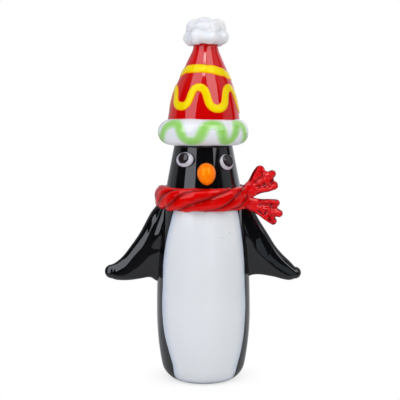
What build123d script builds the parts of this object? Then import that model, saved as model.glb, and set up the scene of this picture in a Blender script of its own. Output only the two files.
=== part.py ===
from build123d import *
import math
import os

# Penguin figurine of hot-worked glass: a blown black body with a white belly, two pulled wings,
# a twisted scarf with two pinched ends, bead eyes, a beak, and a trailed hat with a rolled brim.
# Millimetres. It stands on Z = 0, its axis is Z, and its face looks along -Y.
# Left and right are the penguin's own, so its left wing points along +X.
# Turns round the axis are degrees from the front, growing towards the left wing.

# Body: a bubble that is widest low down, tapers to the neck and goes on as a straight head
foot_radius = 10.5
heel_radius = 14.75
heel_height = 5.2
body_radius = 16.5
widest_height = 24.0
neck_radius = 12.6
neck_height = 70.0
head_top_radius = 9.3
head_top_height = 87.0
body_wall = 2.8

# Belly: a white overlay let into the front of the body, standing a little proud
belly_depth = 1.2
belly_stand = 0.25
belly_half_width = 14.6
belly_bottom_height = 0.6
belly_top_height = 62.5
# Its edges, from the foot up: share of the belly's height, share of its half width
belly_left_edge_shares = [
    (0.0, 0.68), (0.04, 0.74), (0.16, 0.87), (0.31, 0.98), (0.46, 1.0),
    (0.62, 0.96), (0.80, 0.88), (1.0, 0.76),
]
belly_right_edge_shares = [
    (0.0, 0.64), (0.04, 0.69), (0.16, 0.82), (0.31, 0.95), (0.46, 0.99),
    (0.62, 0.96), (0.80, 0.87), (1.0, 0.75),
]

# Wings: pressed gathers, deep at the root and drawn out to a round tip
wing_reach = 34.6
wing_tip_radius = 2.1
wing_base_height = 33.6
wing_root_height = 30.4
wing_root_thickness = 6.4
# Their sections: share of the reach, then shares of the root height for the top and the underside
wing_left_shares = [
    (0.30, 1.06, 0.0), (0.42, 0.97, 0.05), (0.497, 0.88, 0.10), (0.601, 0.68, 0.095),
    (0.702, 0.503, 0.075), (0.806, 0.345, 0.045), (0.880, 0.262, 0.035),
]
wing_right_shares = [
    (0.30, 1.06, -0.04), (0.42, 0.99, 0.0), (0.497, 0.89, 0.035), (0.601, 0.70, 0.055),
    (0.702, 0.515, 0.03), (0.806, 0.365, 0.025), (0.880, 0.285, 0.035),
]
wing_left_tip_share = 0.12
wing_right_tip_share = 0.13

# Scarf: a flattened twisted cane round the neck
scarf_radius = 17.0
scarf_bottom_height = 60.3
scarf_height = 8.1
scarf_corner_radius = 2.4
scarf_groove_count = 13
scarf_groove_angle = 31.0
scarf_groove_width = 1.1
scarf_groove_depth = 0.35

# Scarf ends: flat fans of three fingers, rooted on the cane at the penguin's left
scarf_end_turn = 73.0
scarf_end_thickness = 2.8
scarf_end_root_radius = 2.3
scarf_finger_radius = 1.55
scarf_end_edge_radius = 0.9
scarf_palm_share = 0.78
upper_end_root_height = 66.2
upper_end_reach = 10.7
upper_finger_angles = [60.0, 36.0, 13.0]
upper_finger_shares = [0.86, 1.0, 0.93]
lower_end_root_height = 62.4
lower_end_reach = 10.9
lower_finger_angles = [2.0, -20.0, -38.0]
lower_finger_shares = [0.87, 1.0, 0.97]

# Face: it is turned a little to the penguin's left
face_turn = 5.9
eye_spread = 40.0
eye_left_height = 76.8
eye_right_height = 77.5
eye_radius = 2.9
eye_rise = 1.2
pupil_radius = 1.8
pupil_rise = 0.5
beak_height = 73.1
beak_radius = 3.15
beak_back_length = 3.3
beak_tip_length = 4.6
beak_tilt = 58.0
beak_stand = 0.7

# Hat: a bubble that leans in above the brim and ends in a short neck
hat_radius = 12.8
hat_bend_radius = 9.45
hat_bend_rise = 17.3
hat_neck_radius = 4.3
hat_neck_rise = 28.7
hat_neck_length = 2.3
hat_wall = 2.5

# Trails: threads of glass laid on the hat and pressed in until they stand a little proud
trail_stand = 0.35
wave_blunt_share = 0.22
band_width = 3.2
band_rise = 19.2
band_swing = 2.4
# The band's path: share of a full turn, share of the swing
band_shares = [
    (-0.22, 0.5), (-0.14, 0.95), (-0.05, 1.0), (0.04, 0.85), (0.12, 0.55), (0.19, 0.1),
    (0.28, 0.0), (0.37, 0.2), (0.46, 0.55), (0.55, 0.75), (0.64, 0.75), (0.71, 0.6),
]
wave_width = 2.9
wave_rise = 8.6
wave_swing = 6.8
# The wave's path, crest after trough: share of a full turn, share of the swing
wave_shares = [
    (-0.175, 1.0), (-0.105, 0.1), (-0.025, 1.0), (0.061, 0.1), (0.155, 1.0), (0.245, 0.0),
    (0.33, 0.95), (0.41, 0.0), (0.495, 1.0), (0.58, 0.05), (0.66, 1.0), (0.745, 0.0),
]

# Brim: a rolled ring of round section round the joint of head and hat, with its own wavy trail
brim_ring_radius = 11.65
brim_section_radius = 4.25
brim_trail_width = 2.5
brim_trail_stand = 0.15
brim_trail_angle = 56.0
# The trail's path, crest after trough: share of a full turn, share of the angle up or down
brim_trail_shares = [
    (-0.12, 1.0), (-0.045, -1.0), (0.024, 0.95), (0.084, -1.0), (0.144, 1.0), (0.208, -0.95),
    (0.27, 1.0), (0.335, -1.0), (0.395, 0.95), (0.457, -1.0), (0.52, 1.0), (0.58, -0.95),
    (0.642, 1.0), (0.704, -1.0), (0.765, 0.95), (0.823, -1.0),
]

# Pompom: a lumpy gather on the hat's neck
pompom_radius = 8.0
pompom_height = 9.6
pompom_sink = 1.4
# Its lumps: turn in degrees, then shares of its radius out, of its height up and of its radius
pompom_lump_shares = [
    (-88, 0.70, 0.24, 0.27), (-45, 0.62, 0.22, 0.28), (0, 0.60, 0.20, 0.28), (48, 0.64, 0.24, 0.27),
    (92, 0.74, 0.25, 0.26), (140, 0.64, 0.22, 0.28), (185, 0.62, 0.24, 0.27), (230, 0.66, 0.23, 0.27),
    (-75, 0.60, 0.50, 0.28), (-20, 0.58, 0.50, 0.30), (35, 0.60, 0.52, 0.28), (80, 0.62, 0.55, 0.28),
    (135, 0.60, 0.50, 0.29), (190, 0.60, 0.52, 0.28), (240, 0.58, 0.50, 0.29),
    (-70, 0.34, 0.70, 0.32), (30, 0.30, 0.70, 0.32), (75, 0.45, 0.66, 0.28), (170, 0.36, 0.70, 0.30),
]

overrun = 5.0

os.makedirs("parts", exist_ok=True)

scarf_middle_height = scarf_bottom_height + scarf_height / 2


def arc_radius_at(wide, narrow, span, rise):
    # The radius, at a given rise, of a side that starts upright at the wide radius and curves in
    # to the narrow one at the end of its span
    bow = ((wide - narrow) ** 2 + span ** 2) / (2 * (wide - narrow))
    return wide - bow + math.sqrt(bow ** 2 - rise ** 2)


def body_radius_at(height):
    if height >= neck_height:
        above = (height - neck_height) / (head_top_height - neck_height)
        return neck_radius + (head_top_radius - neck_radius) * above
    return arc_radius_at(
        body_radius, neck_radius, neck_height - widest_height, height - widest_height
    )


def hat_radius_at(rise):
    if rise >= hat_bend_rise:
        above = (rise - hat_bend_rise) / (hat_neck_rise - hat_bend_rise)
        return hat_bend_radius + (hat_neck_radius - hat_bend_radius) * above
    return arc_radius_at(hat_radius, hat_bend_radius, hat_bend_rise, rise)


def around(turn, radius, height):
    return Vector(
        radius * math.sin(math.radians(turn)),
        -radius * math.cos(math.radians(turn)),
        height,
    )


def body_form(inset, floor, ceiling):
    # The body's outline, moved inwards by the inset, as a filled form from floor to ceiling
    with BuildPart() as form:
        with BuildSketch(Plane.XZ):
            with BuildLine():
                widest = (body_radius - inset, widest_height)
                low_side = TangentArc(
                    widest, (heel_radius - inset, heel_height + floor), tangent=(0, -1)
                )
                TangentArc(low_side @ 1, (foot_radius - inset, floor), tangent=low_side % 1)
                TangentArc(widest, (neck_radius - inset, neck_height), tangent=(0, 1))
                Polyline(
                    (neck_radius - inset, neck_height),
                    (head_top_radius - inset, ceiling),
                    (0, ceiling),
                    (0, floor),
                    (foot_radius - inset, floor),
                )
            make_face()
        revolve(axis=Axis.Z)
    return form.part


def hat_form(inset, floor, neck):
    # The hat's outline, moved inwards by the inset, as a filled form with a neck of the given length
    bend_height = head_top_height + hat_bend_rise
    tip_height = head_top_height + hat_neck_rise
    with BuildPart() as form:
        with BuildSketch(Plane.XZ):
            with BuildLine():
                TangentArc(
                    (hat_radius - inset, floor), (hat_bend_radius - inset, bend_height), tangent=(0, 1)
                )
                Line((hat_bend_radius - inset, bend_height), (hat_neck_radius - inset, tip_height))
                if neck > 0:
                    Line(
                        (hat_neck_radius - inset, tip_height),
                        (hat_neck_radius - inset, tip_height + neck),
                    )
                Polyline(
                    (hat_neck_radius - inset, tip_height + neck),
                    (0, tip_height + neck),
                    (0, floor),
                    (hat_radius - inset, floor),
                )
            make_face()
        revolve(axis=Axis.Z)
    return form.part


def thread_spans(points, width, span_count):
    # A round thread along a closed path of straight mitred runs, in spans that meet mid-run
    count = len(points)
    starts = [span * count // span_count for span in range(span_count + 1)]
    spans = []
    for first, last in zip(starts, starts[1:]):
        route = [(points[first] + points[(first + 1) % count]) / 2]
        route += [points[index % count] for index in range(first + 1, last + 1)]
        route += [(points[last % count] + points[(last + 1) % count]) / 2]
        with BuildPart() as span:
            with BuildLine():
                path = Polyline(*route)
            with BuildSketch(Plane(origin=path @ 0, z_dir=path % 0)):
                Circle(width / 2)
            sweep(path=path, transition=Transition.RIGHT)
        spans.append(span.part)
    return spans


def wave_path(wave_shares, place):
    # Turns and swings of a wave with blunt crests and troughs, and a point halfway between them
    path = []
    for (turn, swing), (next_turn, next_swing) in zip(
        wave_shares, wave_shares[1:] + [(wave_shares[0][0] + 1, wave_shares[0][1])]
    ):
        blunt = wave_blunt_share * (next_turn - turn)
        path.append(place(turn - blunt, swing))
        path.append(place(turn + blunt, swing))
        path.append(place((turn + next_turn) / 2, (swing + next_swing) / 2))
    return path


def pressed(span, outside):
    # What lies of a thread within the outer form
    with BuildPart() as form:
        add(span)
        add(outside, mode=Mode.INTERSECT)
    return form.part


def face_plane(turn, height):
    # A plane on the head's surface, facing straight out of it
    shrink = (neck_radius - head_top_radius) / (head_top_height - neck_height)
    return Plane(
        origin=around(turn, body_radius_at(height), height),
        z_dir=around(turn, 1, shrink),
    )


def dome_radius(half_width, rise):
    return (half_width ** 2 + rise ** 2) / (2 * rise)


# Forms that several pieces are cut to
body_skin = body_form(0, 0, head_top_height)
body_space = body_form(body_wall, body_wall, head_top_height - body_wall)
belly_outside = body_form(-belly_stand, 0, head_top_height)
belly_inside = body_form(belly_depth, 0, head_top_height)
hat_skin = hat_form(0, head_top_height, hat_neck_length)
hat_space = hat_form(hat_wall, head_top_height + hat_wall, 0)
trail_outside = hat_form(-trail_stand, head_top_height, hat_neck_length)

# Belly: a front-facing outline that bites into the skin of the body
belly_height = belly_top_height - belly_bottom_height
left_edge = [
    (width_share * belly_half_width, belly_bottom_height + height_share * belly_height)
    for height_share, width_share in belly_left_edge_shares
]
right_edge = [
    (-width_share * belly_half_width, belly_bottom_height + height_share * belly_height)
    for height_share, width_share in belly_right_edge_shares
]
with BuildPart() as belly_patch:
    with BuildSketch(Plane.XZ):
        with BuildLine():
            Spline(*left_edge)
            Spline(*right_edge)
            Line(left_edge[0], right_edge[0])
            Line(left_edge[-1], right_edge[-1])
        make_face()
    extrude(amount=body_radius + overrun)
    add(belly_outside, mode=Mode.INTERSECT)
    add(belly_inside, mode=Mode.SUBTRACT)
belly_patch.part.label = "belly_patch"

with BuildPart() as body_shell:
    add(body_skin)
    add(body_space, mode=Mode.SUBTRACT)
    add(belly_patch.part, mode=Mode.SUBTRACT)
body_shell.part.label = "body_shell"

# Scarf: an oval-edged band round the neck with slanting twist grooves
with BuildPart() as scarf_wrap:
    with BuildSketch(Plane.XZ) as scarf_section:
        with Locations((scarf_radius / 2, scarf_middle_height)):
            Rectangle(scarf_radius, scarf_height)
        fillet(scarf_section.vertices().group_by(Axis.X)[-1], scarf_corner_radius)
    revolve(axis=Axis.Z)
    with Locations(Plane.XY.offset(scarf_middle_height)):
        with PolarLocations(0, scarf_groove_count):
            Torus(
                scarf_radius + scarf_groove_width / 2 - scarf_groove_depth,
                scarf_groove_width / 2,
                rotation=(scarf_groove_angle, 0, 0),
                major_angle=60,
                align=None,
                mode=Mode.SUBTRACT,
            )
    add(body_skin, mode=Mode.SUBTRACT)
    add(belly_patch.part, mode=Mode.SUBTRACT)
scarf_wrap.part.label = "scarf_wrap"


def wing(side, section_shares, tip_share):
    # Oval sections from inside the body out to a round tip, on the given side of the axis
    tip_reach = wing_reach - wing_tip_radius
    first_reach = section_shares[0][0] * wing_reach
    with BuildPart() as form:
        for reach_share, top_share, bottom_share in section_shares:
            reach = reach_share * wing_reach
            top = wing_base_height + top_share * wing_root_height
            bottom = wing_base_height + bottom_share * wing_root_height
            outward = (reach - first_reach) / (tip_reach - first_reach)
            thickness = wing_root_thickness + (2 * wing_tip_radius - wing_root_thickness) * outward
            with BuildSketch(Plane.YZ.offset(side * reach)):
                with Locations((0, (top + bottom) / 2)):
                    Ellipse(thickness / 2, (top - bottom) / 2)
        tip_height = wing_base_height + tip_share * wing_root_height
        with BuildSketch(Plane.YZ.offset(side * tip_reach)):
            with Locations((0, tip_height)):
                Circle(wing_tip_radius)
        loft()
        with Locations((side * tip_reach, 0, tip_height)):
            Sphere(wing_tip_radius)
        add(body_skin, mode=Mode.SUBTRACT)
        add(scarf_wrap.part, mode=Mode.SUBTRACT)
    return form.part


# Wings
with BuildPart() as wing_left:
    add(wing(1, wing_left_shares, wing_left_tip_share))
wing_left.part.label = "wing_left"

with BuildPart() as wing_right:
    add(wing(-1, wing_right_shares, wing_right_tip_share))
wing_right.part.label = "wing_right"


def scarf_end(root_height, reach, angles, shares):
    # A pinched fan: a palm with three round fingers, in an upright plane in front of the wing
    root = around(scarf_end_turn, scarf_radius - scarf_end_root_radius / 2, root_height)
    tips = [
        (
            root.X + reach * share * math.cos(math.radians(angle)),
            root.Z + reach * share * math.sin(math.radians(angle)),
        )
        for angle, share in zip(angles, shares)
    ]
    with BuildPart() as form:
        with BuildSketch(Plane.XZ.offset(-root.Y)) as fan:
            for x, z in tips:
                with BuildSketch(mode=Mode.PRIVATE) as finger:
                    with Locations((root.X, root.Z)):
                        Circle(scarf_end_root_radius)
                    with Locations((x, z)):
                        Circle(scarf_finger_radius)
                    make_hull()
                add(finger.sketch)
            with BuildSketch(mode=Mode.PRIVATE) as palm:
                with Locations((root.X, root.Z)):
                    Circle(scarf_end_root_radius)
                for x, z in tips:
                    with Locations(
                        (
                            root.X + (x - root.X) * scarf_palm_share,
                            root.Z + (z - root.Z) * scarf_palm_share,
                        )
                    ):
                        Circle(scarf_finger_radius)
                make_hull()
            add(palm.sketch)
        extrude(amount=scarf_end_thickness / 2, both=True)
        fillet(form.edges().filter_by(GeomType.LINE, reverse=True), scarf_end_edge_radius)
        add(scarf_wrap.part, mode=Mode.SUBTRACT)
        add(body_skin, mode=Mode.SUBTRACT)
    return form.part


with BuildPart() as scarf_tail_upper:
    add(scarf_end(upper_end_root_height, upper_end_reach, upper_finger_angles, upper_finger_shares))
scarf_tail_upper.part.label = "scarf_tail_upper"

with BuildPart() as scarf_tail_lower:
    add(scarf_end(lower_end_root_height, lower_end_reach, lower_finger_angles, lower_finger_shares))
    add(scarf_tail_upper.part, mode=Mode.SUBTRACT)
scarf_tail_lower.part.label = "scarf_tail_lower"

# Eyes: a white dome with a smaller dark dome on it
eye_dome_radius = dome_radius(eye_radius, eye_rise)
pupil_drop = eye_dome_radius - math.sqrt(eye_dome_radius ** 2 - pupil_radius ** 2)
pupil_dome_radius = dome_radius(pupil_radius, pupil_rise + pupil_drop)


def eye_white(turn, height):
    with BuildPart() as form:
        with Locations(face_plane(turn, height).offset(eye_rise - eye_dome_radius)):
            Sphere(eye_dome_radius)
        add(body_skin, mode=Mode.SUBTRACT)
    return form.part


def pupil(turn, height):
    with BuildPart() as form:
        with Locations(face_plane(turn, height).offset(eye_rise + pupil_rise - pupil_dome_radius)):
            Sphere(pupil_dome_radius)
        with Locations(face_plane(turn, height).offset(eye_rise - eye_dome_radius)):
            Sphere(eye_dome_radius, mode=Mode.SUBTRACT)
    return form.part


with BuildPart() as eye_white_left:
    add(eye_white(face_turn + eye_spread, eye_left_height))
eye_white_left.part.label = "eye_white_left"

with BuildPart() as eye_white_right:
    add(eye_white(face_turn - eye_spread, eye_right_height))
eye_white_right.part.label = "eye_white_right"

with BuildPart() as pupil_left:
    add(pupil(face_turn + eye_spread, eye_left_height))
pupil_left.part.label = "pupil_left"

with BuildPart() as pupil_right:
    add(pupil(face_turn - eye_spread, eye_right_height))
pupil_right.part.label = "pupil_right"

# Beak: an egg that hangs down and forward
beak_centre = around(face_turn, body_radius_at(beak_height) + beak_stand, beak_height)
beak_axis = around(
    face_turn, math.cos(math.radians(beak_tilt)), -math.sin(math.radians(beak_tilt))
)
with BuildPart() as beak:
    with BuildSketch(Plane(origin=beak_centre, x_dir=beak_axis, z_dir=around(face_turn + 90, 1, 0))):
        with BuildLine():
            EllipticalCenterArc((0, 0), beak_tip_length, beak_radius, start_angle=0, arc_size=90)
            EllipticalCenterArc((0, 0), beak_back_length, beak_radius, start_angle=90, arc_size=90)
            Line((-beak_back_length, 0), (beak_tip_length, 0))
        make_face()
    revolve(axis=Axis(beak_centre, beak_axis))
    add(body_skin, mode=Mode.SUBTRACT)
beak.part.label = "beak"

# Hat trails


def hat_point(turn_share, rise):
    return around(360 * turn_share, hat_radius_at(rise), head_top_height + rise)


band_spans = [
    pressed(span, trail_outside)
    for span in thread_spans(
        [hat_point(turn, band_rise + swing * band_swing) for turn, swing in band_shares],
        band_width,
        2,
    )
]
wave_spans = [
    pressed(span, trail_outside)
    for span in thread_spans(
        wave_path(wave_shares, lambda turn, swing: hat_point(turn, wave_rise + swing * wave_swing)),
        wave_width,
        4,
    )
]

with BuildPart() as hat_band:
    add(band_spans)
hat_band.part.label = "hat_band"

with BuildPart() as hat_wave:
    add(wave_spans)
hat_wave.part.label = "hat_wave"

with BuildPart() as hat_cone:
    add(hat_skin)
    add(hat_space, mode=Mode.SUBTRACT)
    add(band_spans + wave_spans, mode=Mode.SUBTRACT)
hat_cone.part.label = "hat_cone"


def brim_form(stand):
    # The rolled ring, as a round section grown by the stand, cut to the head and the hat
    with BuildPart() as form:
        with BuildSketch(Plane.XZ):
            with Locations((brim_ring_radius, head_top_height)):
                Circle(brim_section_radius + stand)
        revolve(axis=Axis.Z)
        add(body_skin, mode=Mode.SUBTRACT)
        add(hat_skin, mode=Mode.SUBTRACT)
    return form.part


def brim_point(turn_share, angle_share):
    angle = math.radians(angle_share * brim_trail_angle)
    return around(
        360 * turn_share,
        brim_ring_radius + brim_section_radius * math.cos(angle),
        head_top_height + brim_section_radius * math.sin(angle),
    )


# Brim and its trail
brim_outside = brim_form(brim_trail_stand)
brim_wave_spans = [
    pressed(span, brim_outside)
    for span in thread_spans(wave_path(brim_trail_shares, brim_point), brim_trail_width, 8)
]

with BuildPart() as brim_wave:
    add(brim_wave_spans)
brim_wave.part.label = "brim_wave"

with BuildPart() as hat_brim:
    add(brim_form(0))
    add(brim_wave_spans, mode=Mode.SUBTRACT)
hat_brim.part.label = "hat_brim"

# Pompom
pompom_bottom = head_top_height + hat_neck_rise + hat_neck_length - pompom_sink
with BuildPart() as pompom:
    with Locations((0, 0, pompom_bottom + pompom_height / 2)):
        Sphere(pompom_height / 2)
    for turn, out_share, height_share, radius_share in pompom_lump_shares:
        place = around(turn, out_share * pompom_radius, pompom_bottom + height_share * pompom_height)
        with Locations(place):
            Sphere(radius_share * pompom_radius)
    add(hat_skin, mode=Mode.SUBTRACT)
pompom.part.label = "pompom"

pieces = [
    body_shell, belly_patch, wing_left, wing_right,
    scarf_wrap, scarf_tail_upper, scarf_tail_lower,
    eye_white_left, eye_white_right, pupil_left, pupil_right, beak,
    hat_cone, hat_band, hat_wave, hat_brim, brim_wave, pompom,
]
for piece in pieces:
    export_step(piece.part, "parts/" + piece.part.label + ".step")
    print(piece.part.label, len(piece.part.solids()), round(piece.part.volume, 1))
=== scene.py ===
from math import atan2, copysign, cos, pi, radians, sin, sqrt, tan
import bmesh
import bpy
from mathutils import Matrix, Vector, noise


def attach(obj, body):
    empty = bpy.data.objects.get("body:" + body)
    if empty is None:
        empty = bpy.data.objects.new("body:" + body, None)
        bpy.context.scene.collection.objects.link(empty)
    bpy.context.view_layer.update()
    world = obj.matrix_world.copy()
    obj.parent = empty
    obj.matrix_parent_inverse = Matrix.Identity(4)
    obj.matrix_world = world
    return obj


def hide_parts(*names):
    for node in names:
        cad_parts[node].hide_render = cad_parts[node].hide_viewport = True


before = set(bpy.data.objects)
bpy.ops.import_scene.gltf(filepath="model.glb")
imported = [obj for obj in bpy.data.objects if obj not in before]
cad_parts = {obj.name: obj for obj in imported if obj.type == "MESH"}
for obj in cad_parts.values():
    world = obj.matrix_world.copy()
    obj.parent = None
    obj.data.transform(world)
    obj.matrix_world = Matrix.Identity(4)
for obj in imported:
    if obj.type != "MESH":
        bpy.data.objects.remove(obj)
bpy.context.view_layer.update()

# Glass penguin. Its sizes are in millimetres, and toMetres turns a finished mesh into metres.
# Only the textures and the studio are in metres. Unevenness is given as (depth, size).
toMetres = 0.001
weldDistance = 1e-6  # in metres
scene = bpy.context.scene


def newObject(name, data, material=None):
    made = bpy.data.objects.new(name, data)
    scene.collection.objects.link(made)
    if material:
        data.materials.append(material)
    return made


def newMesh(name, verts, faces, material=None, edges=()):
    mesh = bpy.data.meshes.new(name)
    mesh.from_pydata([Vector(vert) * toMetres for vert in verts], edges, faces)
    mesh.validate()
    return newObject(name, mesh, material)


def outwardFaces(piece):
    shell = bmesh.new()
    shell.from_mesh(piece.data)
    bmesh.ops.remove_doubles(shell, verts=shell.verts, dist=weldDistance)
    bmesh.ops.recalc_face_normals(shell, faces=shell.faces)
    shell.to_mesh(piece.data)
    shell.free()
    piece.data.polygons.foreach_set("use_smooth", [True] * len(piece.data.polygons))


def fromRings(name, rings, material, closed=False, capped=False, mask=None):
    # A skin over rings of points; a ring of one point is a pole
    size = max(len(ring) for ring in rings)
    verts, marks, faces = [], [], []
    for ring in rings:
        marks.append([len(verts) + count % len(ring) for count in range(size)])
        verts += ring
    if closed:
        marks.append(marks[0])
    for lower, upper in zip(marks, marks[1:]):
        for count in range(size):
            after = (count + 1) % size
            quad = [lower[count], lower[after], upper[after], upper[count]]
            faces.append([mark for spot, mark in enumerate(quad) if mark not in quad[:spot]])
    if capped:
        faces.append(marks[0])
    piece = newMesh(name, verts, faces, material)
    if mask:
        addMask(piece, *mask)
    outwardFaces(piece)
    return piece


def circle(count):
    # Cosine and sine at even steps round a circle
    angles = [2 * pi * step / count for step in range(count)]
    return [(cos(angle), sin(angle)) for angle in angles]


def baked(piece):
    # The evaluated mesh takes the place of the mesh and its modifiers
    name = piece.name
    graph = bpy.context.evaluated_depsgraph_get()
    mesh = bpy.data.meshes.new_from_object(piece.evaluated_get(graph))
    piece.modifiers.clear()
    bpy.data.objects.remove(piece)
    return newObject(name, mesh)


def melted(name, lumps, voxel, smoothing, material):
    # Round lumps of glass run together; each has its middle, radius, stretch and fineness
    heap = bmesh.new()
    for middle, radius, stretch, fineness in lumps:
        place = Matrix.Translation(middle * toMetres) @ Matrix.Diagonal((*stretch, 1))
        bmesh.ops.create_icosphere(heap, subdivisions=fineness, radius=radius, matrix=place)
    mesh = bpy.data.meshes.new(name)
    heap.to_mesh(mesh)
    heap.free()
    piece = newObject(name, mesh, material)
    remesh = piece.modifiers.new("melt", "REMESH")
    remesh.mode = "VOXEL"
    remesh.voxel_size = voxel * toMetres
    soften = piece.modifiers.new("soften", "SMOOTH")
    soften.iterations = smoothing
    return baked(piece)


def addMask(piece, name, values):
    # One value for each point, which the glass reads as a mask
    piece.data.attributes.new(name, "FLOAT", "POINT").data.foreach_set("value", values)


def settle(piece, node):
    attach(piece, "root")
    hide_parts(node)


def around(turn, radius, height):
    # turn in degrees from the front, growing towards the penguin's left wing (+X)
    return Vector((radius * sin(radians(turn)), -radius * cos(radians(turn)), height))


def unevenness(spot, depth, size):
    return depth * noise.noise(spot / size)


def smoothStep(low, high, value):
    share = min(max((value - low) / (high - low), 0.0), 1.0)
    return share * share * (3 - 2 * share)


def alongTable(table, key):
    # Smooth reading of a table of (key, value, value, ...) rows
    last = len(table) - 1
    index = 0
    while index < last - 1 and key > table[index + 1][0]:
        index += 1
    before, here = table[max(index - 1, 0)], table[index]
    after, beyond = table[index + 1], table[min(index + 2, last)]
    span = after[0] - here[0]
    share = min(max((key - here[0]) / span, 0.0), 1.0)
    found = []
    for column in range(1, len(here)):
        slopeHere = (after[column] - before[column]) / (after[0] - before[0])
        slopeAfter = (beyond[column] - here[column]) / (beyond[0] - here[0])
        found.append(
            here[column] * (1 + 2 * share) * (1 - share) ** 2
            + slopeHere * span * share * (1 - share) ** 2
            + after[column] * share * share * (3 - 2 * share)
            - slopeAfter * span * share * share * (1 - share)
        )
    return found


class NodeTree:
    # A node tree written down line by line: an input takes another node's output or a plain value
    # A kind of input is a Blender socket's, or Length, which is a Float that is given in millimetres
    def __init__(self, tree, inputs=None, outputs=None):
        self.tree, self.inputs = tree, []
        for direction, kinds in (("INPUT", inputs), ("OUTPUT", outputs)):
            for kind, labels in (kinds or {}).items():
                socketType = "NodeSocket" + kind.replace("Length", "Float")
                for label in labels.split(", "):
                    socket = tree.interface.new_socket(
                        name=label, in_out=direction, socket_type=socketType)
                    if direction == "INPUT":
                        self.inputs.append((label, kind, socket.identifier))
        if inputs:
            self.given = self.node("NodeGroupInput")
            self.result = tree.nodes.new("NodeGroupOutput").inputs

    def give(self, socket, source):
        if isinstance(source, bpy.types.NodeSocket):
            self.tree.links.new(source, socket)
        else:
            socket.default_value = source

    def node(self, kind, *sources, **named):
        # Names in small letters are the node's own settings, the others are its inputs
        made = self.tree.nodes.new(kind)
        for name, value in named.items():
            if name.islower():
                setattr(made, name, value)
        for socket, source in zip(made.inputs, sources):
            self.give(socket, source)
        for name, source in named.items():
            if not name.islower():
                self.give(made.inputs[name.replace("_", " ")], source)
        return made.outputs

    def math(self, operation, *sources):
        return self.node("ShaderNodeMath", *sources, operation=operation)["Value"]

    def times(self, *factors):
        product = factors[0]
        for factor in factors[1:]:
            product = self.math("MULTIPLY", product, factor)
        return product

    def plus(self, first, second):
        return self.math("ADD", first, second)

    def power(self, source, exponent):
        # The power of the bare size, with the sign put back
        size = self.math("POWER", self.math("ABSOLUTE", source), exponent)
        return self.times(self.math("SIGN", source), size)

    def vector(self, operation, *sources, **scale):
        found = self.node("ShaderNodeVectorMath", *sources, operation=operation, **scale)
        return found["Value" if operation == "LENGTH" else "Vector"]

    def combined(self, x, y, z):
        return self.node("ShaderNodeCombineXYZ", x, y, z)["Vector"]

    def parts(self, source):
        return self.node("ShaderNodeSeparateXYZ", source)

    def ramp(self, source, low, high, fromValue, toValue, kind="LINEAR"):
        return self.node("ShaderNodeMapRange", source, low, high, fromValue, toValue,
                         interpolation_type=kind)["Result"]

    def blend(self, factor, first, second):
        return self.node("ShaderNodeMix", data_type="RGBA", Factor=factor, A=first, B=second)["Result"]

    def mixShaders(self, factor, first, second):
        return self.node("ShaderNodeMixShader", factor, first, second)["Shader"]

    def keep(self, geometry, name, value):
        # Stores a value for each point under a name
        return self.node("GeometryNodeStoreNamedAttribute", data_type="FLOAT", domain="POINT",
                         Geometry=geometry, Name=name, Value=value)["Geometry"]

    def move(self, geometry, position):
        return self.node("GeometryNodeSetPosition", Geometry=geometry, Position=position)["Geometry"]

    def finish(self, geometry):
        whole = self.node("GeometryNodeRealizeInstances", geometry)["Geometry"]
        painted = self.node(
            "GeometryNodeSetMaterial", Geometry=whole, Material=self.given["Material"])
        self.give(self.result["Geometry"], painted["Geometry"])

    def onto(self, piece, values):
        # Half Width takes values["halfWidth"], and so on
        modifier = piece.modifiers.new("shape", "NODES")
        modifier.node_group = self.tree
        for label, kind, identifier in self.inputs:
            key = label[0].lower() + label[1:].replace(" ", "")
            if key in values:
                modifier[identifier] = values[key] * toMetres if kind == "Length" else values[key]
        return baked(piece)


# Outlines of the body and the hat

body = dict(
    footRadius=10.5, heelRadius=14.75, heelHeight=5.2, radius=16.5, widestHeight=24.0,
    neckRadius=12.6, neckHeight=70.0, headTopRadius=9.3, headTopHeight=87.0,
    heelArcOut=7.87, heelArcHeight=6.49, heelArcRadius=7.0,  # the arc from the foot up to the heel
    footRounding=0.7, footRise=0.35, footSteps=5,            # the melted rim of the foot
    segments=192, rowStep=0.8, heelRowStep=0.35, wobble=(0.07, 14.0),
)
hat = dict(
    radius=12.8, bendRadius=9.45, bendRise=17.3, neckRadius=4.3, neckRise=28.7, neckLength=2.3,
    softening=(-1, -0.5, 0, 0.5, 1),  # heights near a row that its radius is averaged over
    softenFrom=1.0,                   # below this the hat keeps its own outline
    neckStart=0.5, segments=160, rowStep=0.6, wobble=(0.10, 7.0), lean=0.8, leanHeight=30,
)
hatBase = body["headTopHeight"]


def bowedSide(wide, narrow, span, rise):
    bow = ((wide - narrow) ** 2 + span ** 2) / (2 * (wide - narrow))
    return wide - bow + sqrt(bow ** 2 - rise ** 2)


def tapered(wide, narrow, low, high, key):
    return wide + (narrow - wide) * min((key - low) / (high - low), 1.0)


def bodyRadius(height):
    heel, widest, neck = body["heelHeight"], body["widestHeight"], body["neckHeight"]
    if height >= neck:
        return tapered(body["neckRadius"], body["headTopRadius"], neck, body["headTopHeight"], height)
    if height >= widest:
        return bowedSide(body["radius"], body["neckRadius"], neck - widest, height - widest)
    if height >= heel:
        return bowedSide(body["radius"], body["heelRadius"], widest - heel, widest - height)
    rise = height - body["heelArcHeight"]
    return body["heelArcOut"] + sqrt(body["heelArcRadius"] ** 2 - rise ** 2)


def hatRadius(rise):
    if rise >= hat["bendRise"]:
        return tapered(hat["bendRadius"], hat["neckRadius"], hat["bendRise"], hat["neckRise"], rise)
    return bowedSide(hat["radius"], hat["bendRadius"], hat["bendRise"], rise)


def leaned(point):
    # The hat leans a little towards the left wing
    share = max(point.z - hatBase, 0.0) / hat["leanHeight"]
    return point + Vector((hat["lean"] * share, 0, 0))


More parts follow.
